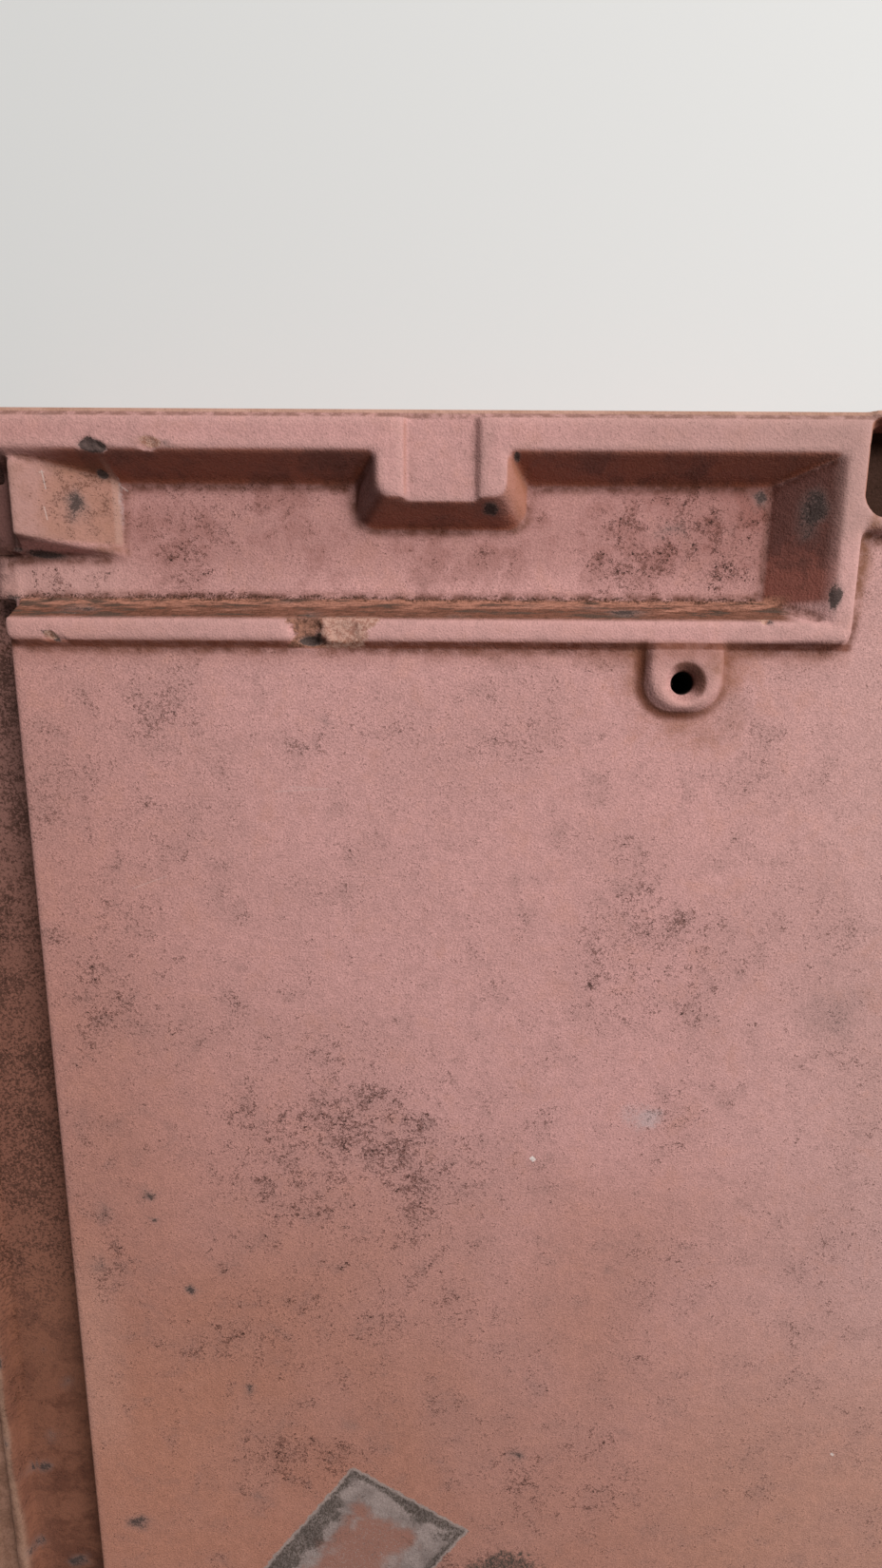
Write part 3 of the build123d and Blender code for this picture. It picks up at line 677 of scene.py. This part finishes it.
# Painted shadow of the wedge and the head rim on the platform left of the wedge
shelf = product(fade(x, wedge_left_x + 0.4, wedge_left_x - 0.6),
                fade(x, ledge_left_x - 1.1, ledge_left_x - 0.1),
                fade(y, trough_foot_y + 8.5, trough_foot_y + 10.0), fade(z, trough_z - 1.0, trough_z), up)
colour = lay(product(shelf, 0.85), colour, shelf_shadow_clay)

# Side lock: brown from standing water and soil, with a painted highlight along the right flank of its rib.
# Head pocket: the same brown, then painted shade, near black
rib_clay, rib_lit_flank_clay = (0.205, 0.105, 0.068), (0.380, 0.220, 0.150)
wet_clay, washed_clay = (0.110, 0.036, 0.020), (0.300, 0.120, 0.070)
black_dots, pocket_shade_clay = (0.035, 0.015, 0.009), (0.030, 0.012, 0.006)
left_lock = fade(x, face_left_x + 0.4, face_left_x - 1.2)
right_pocket = product(fade(x, crest_right_x - 2.4, crest_right_x - 0.4),
                       fade(z, face_z - 0.5, face_z - 2.0),
                       fade(y, trough_foot_y + 14.0, trough_foot_y + 15.5))
lock = product(maths("MAXIMUM", left_lock, right_pocket), fade(z, trough_z + 1.0, trough_z - 1.5))
lock_clay = lay(fade(patch, 0.35, 0.65), (0.105, 0.036, 0.019), (0.190, 0.072, 0.042))
lock_clay = lay(fade(y, -40.0, 15.0, 0.0, 0.68), lock_clay, (0.262, 0.108, 0.074))
lock_clay = lay(fade(y, 60.0, 160.0), lock_clay, (0.225, 0.108, 0.088))
lock_clay = lay(fade(y, -30.0, -90.0, 0.0, 0.6), lock_clay, (0.210, 0.084, 0.054))
wettest = product(fade(x, lock_rib_x + 1.6, lock_rib_x + 10.6), fade(y, -20.0, -55.0), 0.8)
lock_clay = lay(wettest, lock_clay, wet_clay)
washed = product(fade(y, 30.0, -20.0), fade(patch, 0.62, 0.40), 0.5)
lock_clay = lay(washed, lock_clay, washed_clay)
past_rib = maths("ADD", x, fade(broad, 0.2, 0.8, -0.8, 0.8))
lock_rib_clay = lay(fade(patch, 0.30, 0.70), (0.300, 0.165, 0.115), rib_clay)
lock_clay = lay(fade(past_rib, lock_rib_x + 0.3, lock_rib_x - 1.2), lock_clay, lock_rib_clay)
# Painted highlight along the right flank of the lock rib, which faces the light
lock_rib_edge = product(fade(past_rib, lock_rib_x, lock_rib_x - 1.0),
                        fade(past_rib, lock_rib_x - 2.6, lock_rib_x - 1.4), 0.5)
lock_clay = lay(lock_rib_edge, lock_clay, rib_lit_flank_clay)
dotted = maths("ADD", grit, maths("MULTIPLY", patch, 0.4))
dots = product(fade(dotted, 0.66, 0.76), fade(y, -40.0, 10.0, 0.25, 0.85))
lock_clay = lay(dots, lock_clay, black_dots)
colour = lay(product(lock, 0.90), colour, lock_clay)
# Painted shade, near black, in the deep head pocket
pocket = product(fade(x, crest_right_x - 0.9, crest_right_x + 0.6), fade(y, head_y - 23.5, head_y - 22.0),
                 fade(z, face_z + 0.5, face_z - 1.5), up)
colour = lay(product(pocket, 0.93), colour, pocket_shade_clay)

# Diamond: a grey patch with a pale border, dark along its sides, bare in its middle
top_pixel, right_pixel, left_edge_pixel, spill_pixel = (371, 1543), (495, 1612), (278, 1649), (530, 1672)
slab_width, slab_length, border = 41.0, 52.0, 3.4
bare_clay, dark_band = (0.300, 0.142, 0.108), (0.044, 0.042, 0.035)
border_grey, pale_grain, spill_black = (0.420, 0.320, 0.285), (0.560, 0.450, 0.410), (0.050, 0.045, 0.036)
ragged = step("TexNoise", {"Vector": where, "Scale": 0.5, "Detail": 3.0}).outputs["Color"]
ragged = vector_maths("SUBTRACT", ragged, (0.5, 0.5, 0.5))
ragged = vector_maths("ADD", where, vector_maths("MULTIPLY", ragged, (2.2, 2.2, 2.2)))
top_corner = Vector((*seen_at(*top_pixel, face_z), 0.0))
right_corner = Vector((*seen_at(*right_pixel, face_z), 0.0))
left_edge_place = Vector((*seen_at(*left_edge_pixel, face_z), 0.0))
down_right = (right_corner - top_corner).normalized()
down_left = (left_edge_place - top_corner).normalized()
below = reach_along(ragged, top_corner, (down_right.y, -down_right.x, 0.0))
aside = reach_along(ragged, top_corner, (-down_left.y, down_left.x, 0.0))
far_sides = maths("MINIMUM", maths("SUBTRACT", slab_width, aside), maths("SUBTRACT", slab_length, below))
inside = maths("MINIMUM", maths("MINIMUM", below, aside), far_sides)
fur = fade(lumps(vector_maths("MULTIPLY", where, (1.5, 0.8, 1.0)), 0.62, 4.0, 0.8), 0.36, 0.64)
grey = lay(fade(patch, 0.36, 0.62), (0.385, 0.305, 0.280), (0.250, 0.200, 0.185))
grey = lay(product(fur, 0.45), grey, (0.125, 0.092, 0.080))
bare_middle = fade(maths("ADD", inside, fade(patch, 0.2, 0.8, -4.0, 4.0)), 8.0, 14.0)
grey = lay(bare_middle, grey, bare_clay)
uneven = fade(patch, 0.30, 0.70, 0.70, 1.25)
upper_band = product(fade(aside, 4.0, 24.0, 1.8, 5.2), uneven)
left_band = product(fade(below, 4.0, 22.0, 1.8, 7.5), uneven)
from_right = vector_maths("DISTANCE", vector_maths("MULTIPLY", ragged, (1.0, 1.0, 0.0)), right_corner)
band = fade(maths("SUBTRACT", below, upper_band), 0.9, -0.9)
for darker in (
    fade(maths("SUBTRACT", aside, left_band), 0.9, -0.9),
    fade(maths("ADD", below, aside), 9.0, 5.5),
    fade(inside, border, border - 1.4),
    product(fade(from_right, 13.0, 7.0), fade(middle, 0.42, 0.56)),
):
    band = maths("MAXIMUM", band, darker)
grey = lay(product(band, fade(fur, 0.0, 1.0, 0.40, 0.97)), grey, dark_band)
pale_border = product(fade(inside, 1.3, 0.5), fade(crumb, 0.35, 0.55, 0.4, 0.8))
grey = lay(pale_border, grey, border_grey)
grey = lay(product(crumbs, 0.5), grey, (0.110, 0.072, 0.060))
grains = product(fade(crumb, 0.58, 0.63), fade(inside, 10.0, 16.0), 0.7)
grey = lay(grains, grey, pale_grain)
colour = lay(product(fade(inside, -0.3, 0.3), up, 0.92), colour, grey)
spill_place = Vector((*seen_at(*spill_pixel, face_z), face_z))
from_spill = maths("ADD", vector_maths("DISTANCE", ragged, spill_place), fade(middle, 0.2, 0.8, -4.0, 4.0))
spill = product(fade(from_spill, 14.5, 11.0), fade(fur, 0.0, 0.8, 0.30, 1.0), up, 0.92)
colour = lay(spill, colour, spill_black)

# Lichen and soot: grey-black, breaking up into dots at the edges
thin_film, pale_lichen, black_lichen = (0.205, 0.140, 0.125), (0.082, 0.058, 0.050), (0.040, 0.028, 0.026)
sprinkle = maths("ADD", maths("MULTIPLY", crumb, 0.45), maths("MULTIPLY", grit, 0.55))
lichen = painted("lichen")
cover = maths("SUBTRACT", maths("MULTIPLY", lichen, 1.75), fade(sprinkle, 0.24, 0.76, 0.17, 1.62))
cover = product(fade(cover, -0.08, 0.22), fade(lichen, 0.02, 0.20))
film = product(fade(lichen, 0.0, 0.8), fade(sprinkle, 0.40, 0.60, 0.30, 0.75))
colour = lay(film, colour, thin_film)
colour = lay(product(cover, 0.88), colour, lay(fade(fine, 0.3, 0.7), pale_lichen, black_lichen))

# Broken clay is cleaner and more orange
broken = fade(maths("SUBTRACT", painted("broken"), maths("MULTIPLY", middle, 0.8)), -0.10, 0.20)
rough_part = product(in_break, fade(ragged_x, gap_right - 0.7, gap_right + 0.7),
                     fade(right_end, break_right + 0.6, break_right - 0.6))
raw_clay = lay(fade(grit, 0.40, 0.62), (0.560, 0.330, 0.250), (0.300, 0.130, 0.085))
colour = lay(product(maths("MAXIMUM", broken, rough_part), 0.80), colour, raw_clay)

# Pale bloom, scratches and white grains of lime
bloom_white, lime_white = (0.470, 0.390, 0.385), (0.720, 0.600, 0.550)
bloom = fade(maths("SUBTRACT", painted("bloom"), sprinkle), -0.12, 0.25)
colour = lay(product(bloom, 0.50), colour, bloom_white)
scratched = 0.0
for *first, last_x, last_y, level, half_width, strength in scratches:
    x_from, y_from = seen_at(*first, level)
    x_to, y_to = seen_at(last_x, last_y, level)
    length = math.hypot(x_to - x_from, y_to - y_from)
    way = ((x_to - x_from) / length, (y_to - y_from) / length, 0.0)
    start = (x_from, y_from, 0.0)
    along = reach_along(where, start, way)
    beside = maths("ABSOLUTE", reach_along(where, start, (-way[1], way[0], 0.0)))
    one = product(fade(beside, half_width + 0.12, half_width - 0.08),
                  fade(along, -half_width - 0.1, 0.1 - half_width),
                  fade(along, length + half_width + 0.1, length + half_width - 0.1), strength)
    scratched = maths("MAXIMUM", scratched, one)
colour = lay(product(scratched, fade(crumb, 0.30, 0.46), up), colour, lime_white)

# Grain and pits stand out, or are sunk, by up to this much
relief = 0.30 * mm
raised = maths("ADD", maths("MULTIPLY", fine, 0.6), maths("MULTIPLY", middle, 0.8))
pitted = product(crumbs, fade(y, 150.0, 70.0, 0.3, 0.9))
bump = step("Bump", {
    "Height": maths("SUBTRACT", raised, pitted), "Strength": 0.9, "Distance": relief})
coat = step("BsdfPrincipled", {
    "Base Color": colour, "Roughness": 0.9, "Specular IOR Level": 0.1, "Normal": bump.outputs[0]})
step("OutputMaterial", {"Surface": coat.outputs[0]})

fired_mesh.materials.append(fired_clay)
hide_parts("clay_tile")
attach(tile, "root")


# Floor: a plain pale sheet, four metres square and matt, that the tile lies
# loose on.
floor_reach = 2.0
floor_white = (0.70, 0.69, 0.67, 1.0)
floor_mesh = bpy.data.meshes.new("floor")
floor_mesh.from_pydata(
    [(-floor_reach, -floor_reach, 0.0), (floor_reach, -floor_reach, 0.0),
     (floor_reach, floor_reach, 0.0), (-floor_reach, floor_reach, 0.0)],
    [], [(0, 1, 2, 3)])
floor = bpy.data.objects.new("floor", floor_mesh)
bpy.context.scene.collection.objects.link(floor)
floor_paint = bpy.data.materials.new("floor_paint")
floor_paint.use_nodes = True
floor_look = floor_paint.node_tree.nodes["Principled BSDF"]
floor_look.inputs["Base Color"].default_value = floor_white
floor_look.inputs["Roughness"].default_value = 0.9
floor_mesh.materials.append(floor_paint)


# Light: a wide soft box high above the head and the right of the tile, and a
# pale room that brightens the shadows.
box_place = Vector((0.99, 0.91, 1.27))
box_aim = Vector((0.0, 0.10, 0.02))
box_size = 0.75
box_power = 38.0
room_colour = (0.93, 0.97, 1.0, 1.0)
room_strength = 0.14

soft_box = bpy.data.lights.new("sky_light", "AREA")
soft_box.shape = "SQUARE"
soft_box.size = box_size
soft_box.energy = box_power
sky_light = bpy.data.objects.new("sky_light", soft_box)
bpy.context.scene.collection.objects.link(sky_light)
sky_light.location = box_place
sky_light.rotation_euler = (box_aim - box_place).to_track_quat("-Z", "Y").to_euler()
room = bpy.data.worlds.new("room")
room.use_nodes = True
room.node_tree.nodes["Background"].inputs["Color"].default_value = room_colour
room.node_tree.nodes["Background"].inputs["Strength"].default_value = room_strength
bpy.context.scene.world = room
bpy.context.scene.view_settings.view_transform = "Standard"
